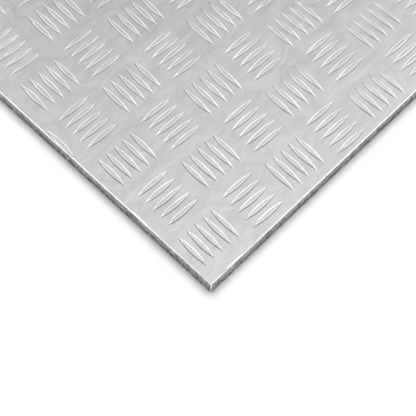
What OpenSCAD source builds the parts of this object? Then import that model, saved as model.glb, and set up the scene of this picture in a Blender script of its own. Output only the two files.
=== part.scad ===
// Five-bar aluminium checker plate: a rolled sheet with raised lens-shaped
// tread bars in groups of five that turn by a right angle from cell to cell.
// The plate lies flat, bars up, with its underside on Z = 0 and its centre
// on the Z axis.

/* [Plate] */
// Length of the cut panel along X
plate_l = 300; // [150:1:500]
// Width of the cut panel along Y
plate_w = 300; // [150:1:500]
// Thickness of the sheet between the bars
base_t = 10; // [3:0.5:12]
// Chamfer that the shear leaves along the top edges
edge_break = 0.5; // [0.2:0.1:1]

/* [Tread bar] */
// Length of one bar from tip to tip, on the sheet's surface
bar_l = 24; // [16:0.5:32]
// Width of one bar at its middle, on the sheet's surface
bar_w = 3.4; // [2.4:0.1:5]
// Height of the bars above the sheet
bar_h = 0.4; // [0.3:0.1:2]
// Width of a bar's sloping flank in plan, from the sheet to the flat top
flank_run = 0.7; // [0.3:0.05:1]

/* [Pattern] */
// Bars side by side in one group
bars_per_group = 5; // [3:1:7]
// Gap between neighbouring bars of a group at their widest
bar_gap = 2.5; // [1:0.1:5]
// Gap between the outer bars of one group and the next group's cell
group_gap = 5; // [2:0.1:12]
// Turn of the rolled pattern against the sheared edges, in degrees
pattern_turn = -1.9; // [-5:0.1:5]
// Centre of the first group, from the panel's lowest X edge
first_group_x = 18.7; // [0:0.1:32]
// Centre of the first group, from the panel's lowest Y edge
first_group_y = 19.8; // [0:0.1:32]

/* [Hidden] */

// Depth that each bar is rooted in the sheet, so that the two fuse
bar_root = 0.5;
// A bar that the shear leaves less of than this is not drawn
least_stub = 0.4;
// Facets of a full circle in the preview
arc_facets = 96;

// A flank's arc in plan, through both tips and the bar's widest point
flank_r = (bar_l * bar_l + bar_w * bar_w) / (4 * bar_w);
// Distance of a flank's arc centre from the bar's long axis
flank_offset = flank_r - bar_w / 2;
// The same arc at the foot of the root, where the flanks have spread
root_r = flank_r + bar_root * flank_run / bar_h;
root_l = 2 * sqrt(root_r * root_r - flank_offset * flank_offset);
root_w = 2 * (root_r - flank_offset);

bar_pitch = bar_w + bar_gap;
group_span = (bars_per_group - 1) * bar_pitch + bar_w;
group_pitch = max(group_span, bar_l) + group_gap;

// The part of the top face that lies inside the chamfers
face_l = plate_l - 2 * edge_break;
face_w = plate_w - 2 * edge_break;

first_group = [first_group_x - plate_l / 2, first_group_y - plate_w / 2];
cells = ceil(norm([plate_l, plate_w]) / group_pitch) + 1;

function turned(v, angle) = [
    v.x * cos(angle) - v.y * sin(angle),
    v.x * sin(angle) + v.y * cos(angle)
];

// Direction of the bars in cell i, j: along Y in even cells, along X in odd ones
function bar_angle(i, j) = pattern_turn + ((i + j) % 2 == 0 ? 90 : 0);

// Centre of bar k in cell i, j, on the panel
function bar_centre(i, j, k) =
    first_group
    + turned([i, j] * group_pitch, pattern_turn)
    + turned([0, (k - (bars_per_group - 1) / 2) * bar_pitch], bar_angle(i, j));

// Half of the room that a lens at this angle takes along X and along Y
function lens_reach(length, width, angle) = [
    norm([length * cos(angle), width * sin(angle)]) / 2,
    norm([length * sin(angle), width * cos(angle)]) / 2
];

function on_panel(centre, angle) =
    let (reach = lens_reach(bar_l, bar_w, angle))
        abs(centre.x) - reach.x < face_l / 2 - least_stub
        && abs(centre.y) - reach.y < face_w / 2 - least_stub;

function clear_of_edges(centre, angle) =
    let (reach = lens_reach(root_l, root_w, angle))
        abs(centre.x) + reach.x < face_l / 2
        && abs(centre.y) + reach.y < face_w / 2;

// Every bar that shows on the panel, as [centre, angle]
bars = [
    for (i = [-cells:cells], j = [-cells:cells], k = [0:bars_per_group - 1])
        let (centre = bar_centre(i, j, k), angle = bar_angle(i, j))
            if (on_panel(centre, angle)) [centre, angle]
];

// One side of a bar: a wide cone whose wall is the bar's flank
module flank_cone(side) {
    translate([0, side * flank_offset, -bar_root])
        cylinder(
            h = bar_root + bar_h,
            r1 = root_r,
            r2 = flank_r - flank_run,
            $fn = arc_facets
        );
}

// A bar along X on the sheet's surface: pointed, flat on top, with sloping flanks
module tread_bar() {
    intersection() {
        flank_cone(1);
        flank_cone(-1);
    }
}

module placed_bar(bar) {
    translate([bar[0].x, bar[0].y, base_t])
        rotate([0, 0, bar[1]])
            tread_bar();
}

// Cross-section of the sheet over a width, with both top edges broken
module sheet_section(width) {
    half = width / 2;
    polygon([
        [-half, 0],
        [half, 0],
        [half, base_t - edge_break],
        [half - edge_break, base_t],
        [-half + edge_break, base_t],
        [-half, base_t - edge_break]
    ]);
}

module sheet() {
    intersection() {
        rotate([90, 0, 0])
            linear_extrude(plate_w, center = true)
                sheet_section(plate_l);
        rotate([90, 0, 90])
            linear_extrude(plate_l, center = true)
                sheet_section(plate_w);
    }
}

// The shear's cut through the bars that reach past the edges
module trimmed_bars() {
    intersection() {
        union() {
            for (bar = bars)
                if (!clear_of_edges(bar[0], bar[1])) placed_bar(bar);
        }
        translate([-face_l / 2, -face_w / 2, base_t - bar_root])
            cube([face_l, face_w, bar_root + bar_h]);
    }
}

module checker_plate() {
    color([0.80, 0.80, 0.81]) {
        sheet();
        for (bar = bars)
            if (clear_of_edges(bar[0], bar[1])) placed_bar(bar);
        trimmed_bars();
    }
}

checker_plate();
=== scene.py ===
# %% [markdown]
# # A panel of aluminium checker plate
#
# Checker plate is rolled and not assembled. One roll of the mill is engraved, so
# the bars of the tread come up out of the same metal as the sheet, in groups of
# five that turn by a right angle from cell to cell. A shear then cuts panels from
# the sheet, straight through any bar that lies in its way. This lesson follows
# the same order: one bar, one cell, a sheet of cells, the cut, and the finish. The
# measured solid is loaded first, because the finished panel has to fill its box.

# %% Load the measured panel
import math

import bmesh
import bpy
from mathutils import Matrix, Vector


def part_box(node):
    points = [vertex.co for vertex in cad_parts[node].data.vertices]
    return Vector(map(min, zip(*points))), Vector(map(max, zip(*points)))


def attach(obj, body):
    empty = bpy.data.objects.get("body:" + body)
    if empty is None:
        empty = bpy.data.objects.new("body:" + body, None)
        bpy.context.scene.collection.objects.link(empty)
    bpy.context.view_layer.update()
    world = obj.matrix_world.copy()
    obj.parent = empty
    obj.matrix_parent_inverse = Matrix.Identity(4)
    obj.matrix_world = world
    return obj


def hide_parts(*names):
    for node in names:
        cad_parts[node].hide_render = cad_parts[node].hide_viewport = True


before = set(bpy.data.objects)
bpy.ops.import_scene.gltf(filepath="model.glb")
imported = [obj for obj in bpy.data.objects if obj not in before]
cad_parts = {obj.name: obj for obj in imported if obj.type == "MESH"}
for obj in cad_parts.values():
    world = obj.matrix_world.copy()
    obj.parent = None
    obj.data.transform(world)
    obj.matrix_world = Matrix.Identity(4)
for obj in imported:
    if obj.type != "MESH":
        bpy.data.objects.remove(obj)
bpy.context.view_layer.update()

MM = 0.001
NODE = "checker_plate"
plate_low, plate_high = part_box(NODE)
plate_size = (plate_high - plate_low) / MM


def rounded(sides):
    """The sides of a box, short enough to print."""
    return [round(side, 2) for side in sides]


print("measured panel, mm:", rounded(plate_size))

# %% [markdown]
# ## The camera
#
# The panel lies flat and the camera looks down on its near corner through a long
# lens. Placing the camera first means that every later step can be judged from
# the same spot. A Track To constraint could aim it, but that keeps the picture
# level, and this view is rolled a little. So the camera is turned with the three
# directions that are the columns of its rotation: right, up and back.

# %% Look down on the near corner
IMAGE_PIXELS = 416
FOCAL_PIXELS = 1300
VIEW_AZIMUTH = math.radians(-46.2)
VIEW_ELEVATION = math.radians(65)
VIEW_ROLL = math.radians(0.68)
VIEW_DISTANCE = 0.693
AIM_FROM_CORNER = Vector((0.0305, 0.0322, 0))

camera_data = bpy.data.cameras.new("camera")
camera_data.lens = camera_data.sensor_width * FOCAL_PIXELS / IMAGE_PIXELS
camera = bpy.data.objects.new("camera", camera_data)
bpy.context.scene.collection.objects.link(camera)
bpy.context.scene.camera = camera


def view_directions(azimuth, elevation, roll):
    """Right, up and back of a camera that looks at the panel from this side."""
    back = Vector((
        math.sin(azimuth) * math.cos(elevation),
        -math.cos(azimuth) * math.cos(elevation),
        math.sin(elevation),
    ))
    level = Vector((math.cos(azimuth), math.sin(azimuth), 0))
    upright = back.cross(level)
    right = math.cos(roll) * level + math.sin(roll) * upright
    return right, back.cross(right), back


def placed(place, right, up, back):
    """The matrix that sets a camera or lamp at a place, with its axes this way."""
    return Matrix.Translation(place) @ Matrix((right, up, back)).transposed().to_4x4()


right, up, back = view_directions(VIEW_AZIMUTH, VIEW_ELEVATION, VIEW_ROLL)
near_corner = Vector((plate_low.x, plate_low.y, plate_high.z))
aim = near_corner + AIM_FROM_CORNER
camera.matrix_world = placed(aim + back * VIEW_DISTANCE, right, up, back)
print("lens, mm:", round(camera_data.lens, 1))

# %% [markdown]
# ## One tread bar
#
# Seen from above a bar is a lens: two flat arcs that meet in a point at each end.
# A circle could be cut down to that outline, but a single point that is spun twice
# draws it in the number of steps that is wanted. Rolled metal doesn't fill a needle
# point, so a bevel of one segment cuts both tips blunt. The bar is modelled in
# millimetres, which keeps the operators away from tiny numbers, and the finished
# panel is scaled to metres once.

# %% Draw the outline of a bar
BAR_LENGTH = 24.0
BAR_WIDTH = 3.4
BAR_HEIGHT = 0.4
ARC_STEPS = 7
TIP_CUT = 0.5
WELD = 0.002

flank_radius = (BAR_LENGTH**2 + BAR_WIDTH**2) / (4 * BAR_WIDTH)
flank_offset = flank_radius - BAR_WIDTH / 2
flank_turn = 2 * math.asin(BAR_LENGTH / 2 / flank_radius)


def select_points(wanted):
    """In edit mode, selects the plate's points whose place passes the test."""
    mesh = bmesh.from_edit_mesh(plate.data)
    for point in mesh.verts:
        point.select = wanted(point.co)
    mesh.select_flush(True)
    mesh.select_flush(False)
    bmesh.update_edit_mesh(plate.data)


bpy.ops.object.select_all(action="DESELECT")
bpy.ops.mesh.primitive_plane_add(size=BAR_WIDTH, location=(0, 0, 0))
plate = bpy.context.object
plate.name = "rolled_plate"
bpy.ops.object.mode_set(mode="EDIT")
bpy.ops.mesh.select_mode(type="VERT")
bpy.ops.mesh.select_all(action="SELECT")
bpy.ops.mesh.merge(type="CENTER")
bpy.ops.transform.translate(value=(0, BAR_LENGTH / 2, 0))
for side in (-1, 1):
    bpy.ops.mesh.spin(
        steps=ARC_STEPS,
        angle=flank_turn,
        center=(side * flank_offset, 0, 0),
        axis=(0, 0, 1),
    )
bpy.ops.mesh.select_all(action="SELECT")
bpy.ops.mesh.remove_doubles(threshold=WELD)
select_points(lambda place: abs(place.y) > BAR_LENGTH / 2 - WELD)
bpy.ops.mesh.bevel(affect="VERTICES", offset=TIP_CUT, segments=1)
bpy.ops.mesh.select_all(action="SELECT")
print("outline points:", len(bmesh.from_edit_mesh(plate.data).verts))

# %% [markdown]
# The side of a bar has a steep slope at the sheet and a gentler one above it, and
# the top is almost flat and a little higher along the middle. Each slope mirrors
# another part of the room, which draws the thin bright and dark lines along a bar.
# The outline is extruded upwards ring by ring and drawn in each time, and the last
# ring is drawn in to a line. A ring is shortened by the share that keeps its slope
# equally wide from the middle of the bar to the tips. The outline is marked sharp
# first, and each extrusion passes the mark on, so the slopes meet in crisp lines. A
# bevel would give a shoulder too, but it would spend its faces on the tips.

# %% Raise the bar in two rings and a ridge
# Each ring: how far it lies inside the outline, and its height
BAR_RINGS = ((0.46, 0.245), (0.74, 0.335))
RIDGE_INSIDE = 1.25


def half_length(inside):
    """Half the length of the lens that lies this far inside the outline."""
    return BAR_LENGTH / 2 * math.sqrt(1 - inside / (BAR_WIDTH / 2))


def raise_outline(rise, narrower, shorter):
    """Extrudes the selected ring upwards and draws it in by these shares."""
    bpy.ops.mesh.extrude_edges_move(TRANSFORM_OT_translate={"value": (0, 0, rise)})
    bpy.ops.transform.resize(value=(narrower, shorter, 1), center_override=(0, 0, 0))


bpy.ops.mesh.mark_sharp()
reached_inside = 0.0
reached_height = 0.0
for inside, height in BAR_RINGS:
    narrower = (BAR_WIDTH / 2 - inside) / (BAR_WIDTH / 2 - reached_inside)
    shorter = half_length(inside) / half_length(reached_inside)
    raise_outline(height - reached_height, narrower, shorter)
    reached_inside = inside
    reached_height = height
ridge_shorter = half_length(RIDGE_INSIDE) / half_length(reached_inside)
raise_outline(BAR_HEIGHT - reached_height, 0, ridge_shorter)
bpy.ops.mesh.mark_sharp(clear=True)
bpy.ops.mesh.select_all(action="SELECT")
bpy.ops.mesh.remove_doubles(threshold=WELD)
print("faces of one bar:", len(bmesh.from_edit_mesh(plate.data).faces))

# %% [markdown]
# ## One cell of the pattern
#
# A group is five bars side by side in a square cell. The bars could be set on a
# sheet as pieces of their own, but on the real plate they are the sheet. So the bar
# is copied across the cell, the cell's outline is added as the four edges of a
# plane, and Fill closes the metal between the square and the feet of the bars. The
# bars and the sheet then share their points.

# %% Set five bars into a cell
BARS_PER_GROUP = 5
BAR_GAP = 2.5
GROUP_GAP = 5.0

bar_pitch = BAR_WIDTH + BAR_GAP
group_span = (BARS_PER_GROUP - 1) * bar_pitch + BAR_WIDTH
cell_size = max(group_span, BAR_LENGTH) + GROUP_GAP

bpy.ops.mesh.select_all(action="SELECT")
bpy.ops.transform.translate(value=(-(BARS_PER_GROUP - 1) / 2 * bar_pitch, 0, 0))
for _ in range(BARS_PER_GROUP - 1):
    bpy.ops.mesh.duplicate_move(TRANSFORM_OT_translate={"value": (bar_pitch, 0, 0)})
bpy.ops.mesh.primitive_plane_add(size=cell_size, location=(0, 0, 0))
bpy.ops.mesh.delete(type="ONLY_FACE")
select_points(lambda place: abs(place.z) < WELD)
bpy.ops.mesh.fill(use_beauty=True)
print("faces of one cell:", len(bmesh.from_edit_mesh(plate.data).faces))

# %% [markdown]
# ## The sheet
#
# The neighbour of a cell is the same cell after a quarter turn. A copy is turned
# and set beside the first, and the pair is then copied with a half turn about the
# middle of four cells. That gives the smallest square that repeats, and it could be
# modelled bar by bar as well, but copies stay alike.

# %% Turn copies into a repeat of four cells
bpy.ops.mesh.select_all(action="SELECT")
bpy.ops.mesh.duplicate()
bpy.ops.transform.rotate(value=math.pi / 2, orient_axis="Z", center_override=(0, 0, 0))
bpy.ops.transform.translate(value=(cell_size, 0, 0))
bpy.ops.mesh.select_all(action="SELECT")
bpy.ops.mesh.duplicate()
bpy.ops.transform.rotate(
    value=math.pi,
    orient_axis="Z",
    center_override=(cell_size / 2, cell_size / 2, 0),
)
bpy.ops.mesh.select_all(action="SELECT")
bpy.ops.mesh.remove_doubles(threshold=WELD)
bpy.ops.transform.translate(value=(-cell_size, -cell_size, 0))
bpy.ops.object.mode_set(mode="OBJECT")
print("repeat, mm:", rounded(plate.dimensions))

# %% [markdown]
# The mill prints the repeat again and again as its roll turns. An Array modifier
# does the same and merges the points where two copies meet, which copies made by
# hand would need as a step of its own. One array runs along the sheet and one
# across it, with a repeat to spare, because the sheet is still to be turned.

# %% Roll the repeat out into a sheet
REPEATS_TO_SPARE = 1

repeat_size = 2 * cell_size
repeats = math.ceil(max(plate_size.x, plate_size.y) / repeat_size) + REPEATS_TO_SPARE
for step in ((repeat_size, 0, 0), (0, repeat_size, 0)):
    bpy.ops.object.modifier_add(type="ARRAY")
    rollout = plate.modifiers[-1]
    rollout.count = repeats
    rollout.use_relative_offset = False
    rollout.use_constant_offset = True
    rollout.constant_offset_displace = step
    rollout.use_merge_vertices = True
    rollout.merge_threshold = WELD
    bpy.ops.object.modifier_apply(modifier=rollout.name)
print("sheet, mm:", rounded(plate.dimensions))

# %% [markdown]
# ## The cut
#
# The shear doesn't follow the pattern. On this panel the rows run about two
# degrees off the edges, so the sheet is turned by that much, set on its first
# group and cut with four bisects. Bars on the line are cut through, some of them
# along their whole length. A Boolean with a box would cut as well, but a bisect
# leaves the open border that the next step needs. The sharp corners of such a panel
# are soon knocked, so each of them gets a small round bevel.

# %% Shear the sheet to size
PATTERN_TURN = math.radians(-1.9)
FIRST_GROUP = Vector((18.7, 19.8, 0))
ROLL_OVER = 0.55
CORNER_NICK = 0.35
CORNER_STEPS = 3

sheet_top = plate_size.z - BAR_HEIGHT
low_edge = plate_low / MM
plate.rotation_euler = (0, 0, PATTERN_TURN)
plate.location = low_edge + FIRST_GROUP + Vector((0, 0, sheet_top))
bpy.ops.object.transform_apply(location=True, rotation=True, scale=True)

cut_x = plate_size.x / 2 - ROLL_OVER
cut_y = plate_size.y / 2 - ROLL_OVER
bpy.ops.object.mode_set(mode="EDIT")
for outward, distance in (
    ((1, 0, 0), cut_x),
    ((-1, 0, 0), cut_x),
    ((0, 1, 0), cut_y),
    ((0, -1, 0), cut_y),
):
    bpy.ops.mesh.select_all(action="SELECT")
    bpy.ops.mesh.bisect(
        plane_co=Vector(outward) * distance, plane_no=outward, clear_outer=True
    )
select_points(
    lambda place: abs(place.x) > cut_x - WELD and abs(place.y) > cut_y - WELD
)
bpy.ops.mesh.bevel(affect="VERTICES", offset=CORNER_NICK, segments=CORNER_STEPS)
bpy.ops.object.mode_set(mode="OBJECT")
print("cut face, mm:", rounded(plate.dimensions))

# %% [markdown]
# ## The sheared edge
#
# A blade rounds the top edge over, burnishes a band below it, and then the metal
# breaks and leaves a slightly undercut, rough band. A bevel could round the edge but
# not draw the bands, so each of these lines is one more extrusion of the sheet's
# border, drawn outwards or inwards and flattened to its height. Cut bars stand above
# the sheet, so the border first goes straight down to it. That line is kept sharp:
# the first facet beside it then mirrors the lamps as one thin line along the rim.
# The last border is closed with the underside.

# %% Draw the border down to the underside
BURNISH_FOOT = 0.64 * sheet_top
BREAK_TOP = 0.60 * sheet_top
BURR_TOP = 0.05 * sheet_top
UNDERCUT = 0.25
# Each line of the rounded edge: how far out and how far down, as shares of its width
ROUNDING = ((0.60, 0.11), (0.90, 0.33), (1.00, 0.67))
round_lines = [(out * ROLL_OVER, sheet_top - down * ROLL_OVER) for out, down in ROUNDING]
# Each line of the side under it: how far it lies outside the cut, and its height
side_lines = [
    (ROLL_OVER, BURNISH_FOOT),
    (ROLL_OVER - UNDERCUT / 2, BREAK_TOP),
    (ROLL_OVER - UNDERCUT, BURR_TOP),
    (ROLL_OVER, 0.0),
]


def draw_border(wider_x, wider_y, height):
    """Extrudes the selected border, widens it by these shares and flattens it."""
    bpy.ops.mesh.extrude_edges_move()
    bpy.ops.transform.resize(value=(wider_x, wider_y, 0), center_override=(0, 0, height))


bpy.ops.object.mode_set(mode="EDIT")
bpy.ops.mesh.select_all(action="DESELECT")
bpy.ops.mesh.select_mode(type="EDGE")
bpy.ops.mesh.select_non_manifold(
    extend=False,
    use_wire=False,
    use_boundary=True,
    use_multi_face=False,
    use_non_contiguous=False,
    use_verts=False,
)
bpy.ops.mesh.mark_sharp()
draw_border(1, 1, sheet_top)
bpy.ops.mesh.mark_sharp()
reached_out = 0.0
for out, height in round_lines + side_lines:
    wider_x = (cut_x + out) / (cut_x + reached_out)
    wider_y = (cut_y + out) / (cut_y + reached_out)
    draw_border(wider_x, wider_y, height)
    bpy.ops.mesh.mark_sharp(clear=True)
    reached_out = out
bpy.ops.mesh.edge_face_add()
bpy.ops.mesh.select_mode(type="VERT")
bpy.ops.mesh.select_all(action="SELECT")
bpy.ops.mesh.remove_doubles(threshold=WELD)
bpy.ops.mesh.normals_make_consistent(inside=False)
bpy.ops.object.mode_set(mode="OBJECT")
print("panel, mm:", rounded(plate.dimensions))

# %% [markdown]
# The panel is now scaled from millimetres to metres, and the scale is applied to
# its mesh, so that the object itself stays unscaled. The arcs of the bars are made
# of short straight steps. More steps would round them, but smooth shading does that
# without more faces, and Shade Smooth by Angle keeps the lines that are marked sharp.

# %% Scale to metres and smooth the arcs
SMOOTH_BELOW = math.radians(20)

plate.scale = (MM, MM, MM)
bpy.ops.object.transform_apply(location=True, rotation=True, scale=True)
bpy.ops.object.shade_smooth_by_angle(angle=SMOOTH_BELOW, keep_sharp_edges=True)
print("triangles:", sum(len(face.vertices) - 2 for face in plate.data.polygons))

# %% [markdown]
# ## Finishes
#
# The whole panel is bare aluminium, but the rolls and the blade leave it in two
# states. The rolled faces are satin, with faint clouds, a fine grain and a slight
# swell between the groups. The sides are torn, so they are rough, and their dark tone
# is partly the torn metal and partly painted shade. Both need clouds and grain, at
# different sizes and directions, so that pair is built once as a node group and placed
# in each finish with its own values. Painted pictures would do it too, but a pattern
# made from the object's own coordinates has no seams and no end.

# %% Build the group of clouds and grain
# Each pattern: its name, the detail of its noise, and how much the noise is warped
PATTERNS = (("Cloud", 4, 1.2), ("Grain", 2, 0))
# Most of a noise lies between these values, which become 0 and 1
NOISE_LOW = 0.3
NOISE_HIGH = 0.7


def add_node(tree, kind, values=None, **options):
    """Adds a node with these options, and with these values on its inputs."""
    node = tree.nodes.new(kind)
    for name, option in options.items():
        setattr(node, name, option)
    for socket, value in (values or {}).items():
        node.inputs[socket].default_value = value
    return node


def make_grain_group():
    """A group that gives soft clouds and fine grain, each from 0 to 1."""
    group = bpy.data.node_groups.new("clouds_and_grain", "ShaderNodeTree")
    interface = group.interface
    interface.new_socket("Vector", in_out="INPUT", socket_type="NodeSocketVector")
    given = add_node(group, "NodeGroupInput")
    result = add_node(group, "NodeGroupOutput")
    for name, detail, warp in PATTERNS:
        scale = name + " Scale"
        interface.new_socket(scale, in_out="INPUT", socket_type="NodeSocketFloat")
        interface.new_socket(name, in_out="OUTPUT", socket_type="NodeSocketFloat")
        noise = add_node(
            group, "ShaderNodeTexNoise", {"Detail": detail, "Distortion": warp}
        )
        spread = add_node(
            group, "ShaderNodeMapRange", {"From Min": NOISE_LOW, "From Max": NOISE_HIGH}
        )
        group.links.new(given.outputs["Vector"], noise.inputs["Vector"])
        group.links.new(given.outputs[scale], noise.inputs["Scale"])
        group.links.new(noise.outputs[0], spread.inputs["Value"])
        group.links.new(spread.outputs[0], result.inputs[name])
    return group


grain_group = make_grain_group()
print("shared group:", [socket.name for socket in grain_group.interface.items_tree])

# %% [markdown]
# The rolls draw the metal out, and its clouds with it. The mill finish therefore
# stretches the shared pattern to twice its length along the sheet. Both finishes
# start with the same few nodes, a metal shader and the group with its coordinates,
# so a function makes that start for each of them.

# %% Start the mill finish
CLOUD_SCALE = 120
GRAIN_SCALE = 900
ROLLING_STRETCH = (0.5, 1, 1)


def start_finish(name, cloud_scale, grain_scale, stretch):
    """A metal material with the shared group in it, and the parts that finishes use."""
    material = bpy.data.materials.new(name)
    material.use_nodes = True
    tree = material.node_tree
    metal = tree.nodes["Principled BSDF"]
    metal.inputs["Metallic"].default_value = 1
    place = add_node(tree, "ShaderNodeTexCoord").outputs["Object"]
    mapping = add_node(tree, "ShaderNodeMapping", {"Scale": stretch})
    grain = add_node(tree, "ShaderNodeGroup", node_tree=grain_group)
    grain.inputs["Cloud Scale"].default_value = cloud_scale
    grain.inputs["Grain Scale"].default_value = grain_scale
    tree.links.new(place, mapping.inputs["Vector"])
    tree.links.new(mapping.outputs[0], grain.inputs["Vector"])
    plate.data.materials.append(material)
    return tree, metal, place, grain


tree, metal, place, grain = start_finish(
    "mill_finish", CLOUD_SCALE, GRAIN_SCALE, ROLLING_STRETCH
)
print("mill finish starts with nodes:", len(tree.nodes))

# %% [markdown]
# Two places on the plate are lighter: the tops of the bars, which are rubbed, and, more
# so, the rim that the blade rolled over, where the lighter tone is a painted highlight
# along the edge. They could be painted on by hand, but both are easy to find from the
# object's coordinates, the tops by their height and the rim by its distance from the
# sides. Such a sum is a chain of Math and Map Range nodes, so a function adds each kind
# of step.

# %% Find the worn tops and the rim's painted highlight
TOP_WEAR = 0.3
# Distances from the sides at which the rim's painted highlight starts, and at which it is
# full
RIM_START = 1.1 * MM
RIM_FULL = 0.55 * MM


def connect(tree, value, socket):
    """Gives a socket its value, which is a number, a colour or another socket."""
    if isinstance(value, bpy.types.NodeSocket):
        tree.links.new(value, socket)
    else:
        socket.default_value = value


def math_step(tree, operation, first, second=0):
    """A Math node between two sockets or numbers, as its result."""
    node = add_node(tree, "ShaderNodeMath", operation=operation)
    connect(tree, first, node.inputs[0])
    connect(tree, second, node.inputs[1])
    return node.outputs[0]


def ramp_step(tree, value, low, high, low_result, high_result, curve="LINEAR"):
    """A value that goes from one result to the other between two limits."""
    limits = {"From Min": low, "From Max": high}
    results = {"To Min": low_result, "To Max": high_result}
    node = add_node(
        tree, "ShaderNodeMapRange", {**limits, **results}, interpolation_type=curve
    )
    tree.links.new(value, node.inputs["Value"])
    return node.outputs[0]


def axis_steps(tree, vector):
    """The X, Y and Z values of a vector."""
    node = add_node(tree, "ShaderNodeSeparateXYZ")
    tree.links.new(vector, node.inputs[0])
    return node.outputs


def past_sides(tree, axes):
    """How far a place lies past the panel's X and Y sides; negative inside."""
    return [
        math_step(tree, "SUBTRACT", math_step(tree, "ABSOLUTE", axes[name]), high)
        for name, high in (("X", plate_high.x), ("Y", plate_high.y))
    ]


axes = axis_steps(tree, place)
to_side = math_step(tree, "MAXIMUM", *past_sides(tree, axes))
rim = ramp_step(tree, to_side, -RIM_START, -RIM_FULL, 0, 1)
bar_foot = sheet_top * MM
bar_top = (sheet_top + BAR_HEIGHT) * MM
crest = ramp_step(tree, axes["Z"], bar_foot, bar_top, 0, TOP_WEAR)
# The rim's painted highlight, together with the worn tops of the bars
worn_tops_and_rim_highlight = math_step(tree, "MAXIMUM", rim, crest)
print("mill finish nodes with its wear:", len(tree.nodes))

# %% [markdown]
# The rolled faces are not one grey. Their tone and their gloss both follow the
# clouds, and the worn tops and the rim's painted highlight are mixed in on top, lighter
# and smoother than the rest. One flat grey would be simpler, but metal without such
# changes looks like plastic.

# %% Give the rolled faces their tone and gloss
DULL_TONE = (0.68, 0.68, 0.685, 1)
BRIGHT_TONE = (0.80, 0.80, 0.805, 1)
# Tone of the worn bar tops, and of the painted highlight on the rim and corners
WEAR_AND_HIGHLIGHT_TONE = (0.92, 0.92, 0.92, 1)
DULL_ROUGHNESS = 0.20
BRIGHT_ROUGHNESS = 0.16
RUBBED_SMOOTHING = 0.04
# A Mix node's sockets share their names, so its colours are found by their numbers
MIX_COLOURS = (6, 7)
MIX_RESULT = 2


def mix_step(tree, share, first, second):
    """A mix of two colours, each a colour or a socket, by a share from 0 to 1."""
    node = add_node(tree, "ShaderNodeMix", data_type="RGBA")
    tree.links.new(share, node.inputs[0])
    for number, value in zip(MIX_COLOURS, (first, second)):
        connect(tree, value, node.inputs[number])
    return node.outputs[MIX_RESULT]


cloud = grain.outputs["Cloud"]
clouded = mix_step(tree, cloud, DULL_TONE, BRIGHT_TONE)
tree.links.new(mix_step(tree, worn_tops_and_rim_highlight, clouded, WEAR_AND_HIGHLIGHT_TONE), metal.inputs["Base Color"])
cloud_gloss = ramp_step(tree, cloud, 0, 1, DULL_ROUGHNESS, BRIGHT_ROUGHNESS)
rubbed_gloss = math_step(tree, "MULTIPLY", worn_tops_and_rim_highlight, -RUBBED_SMOOTHING)
tree.links.new(math_step(tree, "ADD", cloud_gloss, rubbed_gloss), metal.inputs["Roughness"])
print("mill finish nodes with its tone:", len(tree.nodes))

# %% [markdown]
# Between the groups the rolled metal is not quite flat, and swells a little. The swell
# is a few hundredths of a millimetre high, too low to spend faces on, so a Bump node
# bends the light on it. It is found by folding the object's coordinates into one
# cell, where it is highest along the border, and a second noise lets it come and go.
# The fine grain is added to the same height. On the bars both fade out, so that the
# lines along them stay clean.

# %% Swell the metal between the groups
GRAIN_HEIGHT = 0.013 * MM
SWELL_HEIGHT = 0.04 * MM
# Shares of a cell, from its middle, at which the swell starts and the cell ends
SWELL_START = 0.36
CELL_END = 0.5
PATCH_SCALE = 30
PATCH_DETAIL = 2
PATCH_LOW = 0.42
PATCH_HIGH = 0.62
# Height above the sheet within which the bump fades on a bar
BUMP_FADE = 0.02 * MM

to_cell = add_node(tree, "ShaderNodeMapping", vector_type="TEXTURE")
to_cell.inputs["Location"].default_value = (low_edge + FIRST_GROUP) * MM
to_cell.inputs["Rotation"].default_value = (0, 0, PATTERN_TURN)
to_cell.inputs["Scale"].default_value = (cell_size * MM, cell_size * MM, 1)
tree.links.new(place, to_cell.inputs["Vector"])
cell_axes = axis_steps(tree, to_cell.outputs[0])
off_centre = [
    math_step(tree, "PINGPONG", cell_axes[name], CELL_END) for name in ("X", "Y")
]
to_border = math_step(tree, "MAXIMUM", *off_centre)
border_swell = ramp_step(
    tree, to_border, SWELL_START, CELL_END, 0, SWELL_HEIGHT, "SMOOTHSTEP"
)
patches = add_node(
    tree, "ShaderNodeTexNoise", {"Scale": PATCH_SCALE, "Detail": PATCH_DETAIL}
)
tree.links.new(place, patches.inputs["Vector"])
patch = ramp_step(tree, patches.outputs[0], PATCH_LOW, PATCH_HIGH, 0, 1, "SMOOTHSTEP")
swell = math_step(tree, "MULTIPLY", border_swell, patch)
grain_lift = math_step(tree, "MULTIPLY", grain.outputs["Grain"], GRAIN_HEIGHT)
uneven = add_node(tree, "ShaderNodeBump", {"Distance": 1})
tree.links.new(math_step(tree, "ADD", swell, grain_lift), uneven.inputs["Height"])
off_bar = ramp_step(tree, axes["Z"], bar_foot, bar_foot + BUMP_FADE, 1, 0)
tree.links.new(off_bar, uneven.inputs["Strength"])
tree.links.new(uneven.outputs[0], metal.inputs["Normal"])
print("mill finish nodes with its bump:", len(tree.nodes))

# %% [markdown]
# The torn side has short upright marks from the blade, so its pattern is finer and
# drawn out in height. Modelling each mark would take more faces than the whole tread,
# so a Bump node raises them. The torn tone is dark, and darker still as painted shade
# on the sides. The band that the blade burnished, below the rim, is lighter and
# smoother than the break under it, and the four upright corners are lighter, partly
# knocked and partly as a painted highlight.

# %% Torn finish of the sheared sides
MARK_SCALE = 380
SPECK_SCALE = 900
MARK_STRETCH = (1, 1, 0.6)
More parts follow.
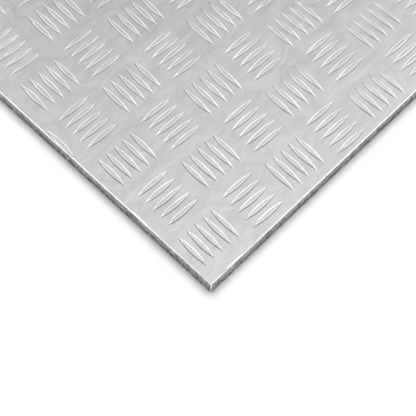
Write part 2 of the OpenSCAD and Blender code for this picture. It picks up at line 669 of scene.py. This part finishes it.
# Dark tone of the torn break, darkened further as painted shade on the sides
TORN_AND_SHADED_TONE = (0.14, 0.14, 0.14, 1)
SCRAPED_TONE = (0.51, 0.51, 0.51, 1)
TORN_ROUGHNESS = 0.6
SCRAPED_ROUGHNESS = 0.42
BURNISH_LIFT = 0.15
MARK_LOW = 0.08
MARK_HIGH = 0.40
MARK_HEIGHT = 0.15 * MM
# Distances from a corner at which its wear and painted highlight start, and at which they
# are full
WEAR_AND_HIGHLIGHT_START = 0.6 * MM
WEAR_AND_HIGHLIGHT_FULL = 0.3 * MM

tree, metal, place, grain = start_finish(
    "sheared_edge", MARK_SCALE, SPECK_SCALE, MARK_STRETCH
)
axes = axis_steps(tree, place)
break_top = BREAK_TOP * MM
burnish_foot = BURNISH_FOOT * MM
burnished = ramp_step(tree, axes["Z"], break_top, burnish_foot, 0, BURNISH_LIFT)
speckled = math_step(tree, "MULTIPLY", grain.outputs["Cloud"], grain.outputs["Grain"])
marked = ramp_step(tree, speckled, MARK_LOW, MARK_HIGH, 0, 1)
to_corner = math_step(tree, "MINIMUM", *past_sides(tree, axes))
# The upright corners are lighter, partly worn and partly a painted highlight
corner_wear_and_highlight = ramp_step(tree, to_corner, -WEAR_AND_HIGHLIGHT_START, -WEAR_AND_HIGHLIGHT_FULL, 0, 1)
lightness = math_step(tree, "ADD", math_step(tree, "ADD", marked, burnished), corner_wear_and_highlight)
scraped = mix_step(tree, lightness, TORN_AND_SHADED_TONE, SCRAPED_TONE)
tree.links.new(mix_step(tree, corner_wear_and_highlight, scraped, WEAR_AND_HIGHLIGHT_TONE), metal.inputs["Base Color"])
side_gloss = ramp_step(tree, lightness, 0, 1, TORN_ROUGHNESS, SCRAPED_ROUGHNESS)
tree.links.new(side_gloss, metal.inputs["Roughness"])
torn = add_node(tree, "ShaderNodeBump", {"Distance": 1})
tree.links.new(math_step(tree, "MULTIPLY", marked, MARK_HEIGHT), torn.inputs["Height"])
tree.links.new(torn.outputs[0], metal.inputs["Normal"])
print("torn finish nodes:", len(tree.nodes))

# %% [markdown]
# The panel is one mesh with two finishes, so each face has to choose one. The sides
# could be selected by hand, but any face steeper than sixty degrees belongs to them.
# Then the panel is attached to the root body and stands in for the measured node,
# which is hidden.

# %% Give the sides their finish and attach the panel to the root body
SIDE_SLOT = 1
SIDE_SLOPE = math.radians(60)

lean = math.cos(SIDE_SLOPE)
side_faces = [face for face in plate.data.polygons if abs(face.normal.z) < lean]
for face in side_faces:
    face.material_index = SIDE_SLOT
print("side faces:", len(side_faces))

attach(plate, "root")
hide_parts(NODE)

# %% [markdown]
# ## Floor and light
#
# The panel lies on white paper, a large plane that takes its shadow. A brighter lamp
# could whiten the paper, but it would leave the shadow too dark beside it. So the
# paper has a faint glow of its own, wherever the camera or the metal looks at it,
# and that lifts the lit paper and the shadow alike.

# %% Lay the paper floor
FLOOR_SIZE = 12
PAPER_WHITE = (0.9, 0.9, 0.9, 1)
PAPER_GLOW = (0.06, 0.06, 0.06, 1)
NO_GLOW = (0, 0, 0, 1)

bpy.ops.object.select_all(action="DESELECT")
bpy.ops.mesh.primitive_plane_add(size=FLOOR_SIZE, location=(0, 0, plate_low.z))
floor = bpy.context.object
floor.name = "paper_floor"

paper = bpy.data.materials.new("white_paper")
paper.use_nodes = True
tree = paper.node_tree
matt = tree.nodes["Principled BSDF"]
matt.inputs["Base Color"].default_value = PAPER_WHITE
matt.inputs["Roughness"].default_value = 1
matt.inputs["Specular IOR Level"].default_value = 0
matt.inputs["Emission Strength"].default_value = 1
rays = add_node(tree, "ShaderNodeLightPath").outputs
mirrored = math_step(tree, "MAXIMUM", rays["Is Glossy Ray"], rays["Is Transmission Ray"])
seen = math_step(tree, "MAXIMUM", rays["Is Camera Ray"], mirrored)
tree.links.new(mix_step(tree, seen, NO_GLOW, PAPER_GLOW), matt.inputs["Emission Color"])
floor.data.materials.append(paper)
print("floor, m:", FLOOR_SIZE)

# %% [markdown]
# Metal shows its surroundings more than its own colour, so the surround is shaped as
# a photographer shapes it. Behind the panel it is bright overhead and falls off
# towards the horizon, which gives the flat metal its slow change of tone. On the
# camera's side it is an even grey, and the near side of each bar shows that as a thin
# dark line. A picture of a studio could stand here too, but a slope between two tones
# is easier to follow and to tune.

# %% Grade the surround
HORIZON_LIGHT = 0.15
ZENITH_LIGHT = 1.04
# Height at which the slope starts, where the horizon is 0 and the zenith is 1
SLOPE_START = 0.54
RIGHT_LEAN = 0.2
FRONT_TONE = (0.34, 0.34, 0.34, 1)
FRONT_BLEND = 0.2
BEHIND = VIEW_AZIMUTH + math.pi
OVERHEAD = Vector((0, 0, 1))

world = bpy.data.worlds.new("studio")
world.use_nodes = True
tree = world.node_tree
direction = add_node(tree, "ShaderNodeTexCoord").outputs["Generated"]


def along_step(axis):
    """How far the surround's directions go along an axis."""
    node = add_node(tree, "ShaderNodeVectorMath", operation="DOT_PRODUCT")
    node.inputs[1].default_value = axis
    tree.links.new(direction, node.inputs[0])
    return node.outputs["Value"]


# Level directions on the floor: to the left in the picture, and away from the camera
leftward, _, away = view_directions(BEHIND, 0, 0)
upward = along_step(OVERHEAD - RIGHT_LEAN * leftward)
by_height = ramp_step(tree, upward, SLOPE_START, 1, HORIZON_LIGHT, ZENITH_LIGHT)
by_side = ramp_step(tree, along_step(away), -FRONT_BLEND, FRONT_BLEND, 0, 1)
background = tree.nodes["Background"].inputs["Color"]
tree.links.new(mix_step(tree, by_side, FRONT_TONE, by_height), background)
bpy.context.scene.world = world
bpy.context.scene.view_settings.view_transform = "Standard"
print("surround from", HORIZON_LIGHT, "to", ZENITH_LIGHT)

# %% [markdown]
# The lamps draw the bright lines. A long strip stands low behind the panel and lights
# the far side of the bars. Two tubes hang overhead and run away from the camera, with
# three small cards beside them, so that the bars of both directions catch a light
# wherever they lie. One large softbox would be simpler, but it would light all slopes
# alike, and the lines would be lost. These lamps are for the metal alone, so they are
# kept off the paper.

# %% Hang the tubes and cards and stand the strip
STRIP_ELEVATION = math.radians(14)
STRIP_DISTANCE = 2.5
STRIP_SIZE = (6.1, 0.8)
STRIP_LIGHT = 1.65
HANGING_HEIGHT = 3
HANGING_WIDTH = 0.9
# Each lamp: its name, how far its middle hangs behind the aimed spot and to its left,
# how far left it drifts for each metre that it runs away, its length and its light
HANGING_LAMPS = (
    ("left_tube", 2.77, 1.48, 0.08, 5.0, 1.05),
    ("right_tube", 2.85, -1.62, -0.26, 4.85, 0.8),
    ("front_card", 0.45, -0.42, 0.0, 0.7, 0.5),
    ("left_card", 0.90, 2.30, 0.0, 1.2, 1.0),
    ("right_card", 4.80, -2.75, 0.0, 2.1, 1.0),
)


def soft_lamp(name, stand, size, brightness):
    """A rectangular lamp; seen in a mirror, a brightness of 1 is white."""
    width, height = size
    data = bpy.data.lights.new(name, "AREA")
    data.shape = "RECTANGLE"
    data.size = width
    data.size_y = height
    data.energy = brightness * math.pi * width * height
    lamp = bpy.data.objects.new(name, data)
    bpy.context.scene.collection.objects.link(lamp)
    lamp.matrix_world = stand
    lamp.visible_camera = False
    print(name, "power, W:", round(data.energy, 2))
    return lamp


def facing_stand(elevation, distance):
    """The place of a lamp behind the panel that faces the near corner."""
    side, top, towards = view_directions(BEHIND, elevation, 0)
    return placed(aim + towards * distance, side, top, towards)


def overhead_stand(behind, sideways, drift):
    """The place of a lamp that hangs over the panel and runs away from the camera."""
    run = (away + drift * leftward).normalized()
    middle = behind * away + sideways * leftward + HANGING_HEIGHT * OVERHEAD
    return placed(aim + middle, run, OVERHEAD.cross(run), OVERHEAD)


strip_stand = facing_stand(STRIP_ELEVATION, STRIP_DISTANCE)
metal_lamps = [soft_lamp("low_strip", strip_stand, STRIP_SIZE, STRIP_LIGHT)]
for name, behind, sideways, drift, length, light in HANGING_LAMPS:
    stand = overhead_stand(behind, sideways, drift)
    metal_lamps.append(soft_lamp(name, stand, (length, HANGING_WIDTH), light))
for lamp in metal_lamps:
    lamp.visible_diffuse = False

# %% [markdown]
# The key lamp is there for the paper. It stands high behind the panel, so that the
# shadow falls towards the camera, and it is large enough to give the shadow a soft
# border. A sun lamp could throw this shadow too, but a lamp close by lets the light
# fall off over the paper, as a studio lamp does. Its image is kept out of the metal,
# where it would be a glaring patch.

# %% Set the key lamp for the paper
KEY_ELEVATION = math.radians(76)
KEY_DISTANCE = 1.2
KEY_SIZE = (0.75, 0.75)
KEY_LIGHT = 6.6

key_stand = facing_stand(KEY_ELEVATION, KEY_DISTANCE)
key_lamp = soft_lamp("key_lamp", key_stand, KEY_SIZE, KEY_LIGHT)
key_lamp.visible_glossy = False
